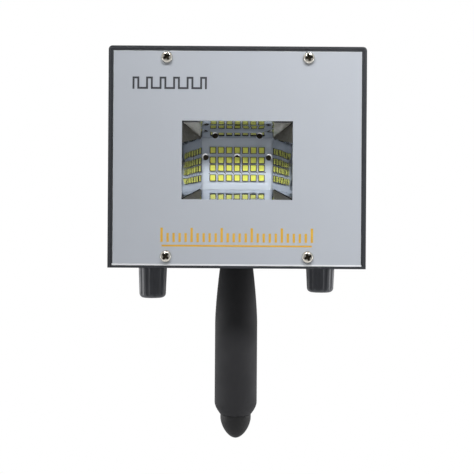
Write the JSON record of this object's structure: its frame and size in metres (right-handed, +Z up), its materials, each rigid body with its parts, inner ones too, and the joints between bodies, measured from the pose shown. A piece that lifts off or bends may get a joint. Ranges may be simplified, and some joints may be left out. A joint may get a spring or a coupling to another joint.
{
  "type": "hand-held stroboscope",
  "caption": "Boxy hand-held stroboscope lamp: sheet case with a mirrored LED window, control knobs and a grip below, mains inlet and rocker switch behind.",
  "frame": {"origin": "middle of the grip sleeve, on the axis of the handle", "axes": "+Z up along the handle into the case, -Y the way the lamp shines, +X to the right seen from the front"},
  "size_m": [0.1762, 0.1133, 0.2746],
  "materials": {
    "case_paint": "fine wrinkle powder coat",
    "panel_face": "satin",
    "screw_nickel": "polished",
    "zinc_steel": "zinc plated",
    "mirror_sheet": "mirror",
    "lamp_board_white": "satin",
    "led_phosphor": "satin",
    "sink_aluminium": "extruded",
    "board_green": "satin",
    "component_black": "moulded",
    "knob_plastic": "moulded",
    "grip_rubber": "moulded",
    "handle_nylon": "moulded",
    "fitting_plastic": "moulded",
    "contact_brass": "nickel plated"
  },
  "bodies": {
    "case": {"case_cover": "case_paint", "chassis": "case_paint", "front_panel": "panel_face", "rear_panel": "case_paint", "front_rails": "case_paint", "rear_rails": "case_paint", "front_panel_screws": "screw_nickel", "rear_panel_screws": "screw_nickel", "front_panel_nuts": "zinc_steel", "rear_panel_nuts": "zinc_steel", "cover_screws": "screw_nickel", "reflector": "mirror_sheet", "lamp_board": "lamp_board_white", "lamp_leds": "led_phosphor", "lamp_board_screws": "screw_nickel", "heat_sink": "sink_aluminium", "lamp_bracket": "zinc_steel", "bracket_screws": "screw_nickel", "bracket_nuts": "zinc_steel", "supply_board": "board_green", "supply_parts": "component_black", "driver_board": "board_green", "driver_parts": "component_black", "board_standoffs": "contact_brass", "board_screws": "screw_nickel", "coarse_pot": "zinc_steel", "fine_pot": "zinc_steel", "pot_washers": "zinc_steel", "pot_nuts": "zinc_steel", "handle_core": "handle_nylon", "grip_sleeve": "grip_rubber", "handle_stud": "zinc_steel", "handle_washer": "zinc_steel", "handle_nut": "zinc_steel", "inlet_housing": "fitting_plastic", "inlet_pins": "contact_brass", "inlet_screws": "screw_nickel", "inlet_nuts": "zinc_steel", "switch_housing": "fitting_plastic", "switch_terminals": "contact_brass"},
    "coarse_control": {"coarse_shaft": "zinc_steel", "coarse_knob": "knob_plastic"},
    "fine_control": {"fine_shaft": "zinc_steel", "fine_knob": "knob_plastic"},
    "switch_rocker": {"rocker": "fitting_plastic"}
  },
  "joints": [
    {"name": "coarse_knob_turn", "type": "hinge", "parent": "case", "child": "coarse_control", "pos_m": [-0.0615, 0, 0.045], "axis": [0, 0, 1], "range_deg": [-150, 150]},
    {"name": "fine_knob_turn", "type": "hinge", "parent": "case", "child": "fine_control", "pos_m": [0.0615, 0, 0.045], "axis": [0, 0, 1], "range_deg": [-150, 150]},
    {"name": "power_rocker", "type": "hinge", "parent": "case", "child": "switch_rocker", "pos_m": [-0.034, 0.053, 0.09025], "axis": [-1, 0, 0], "range_deg": [0, 20]}
  ]
}
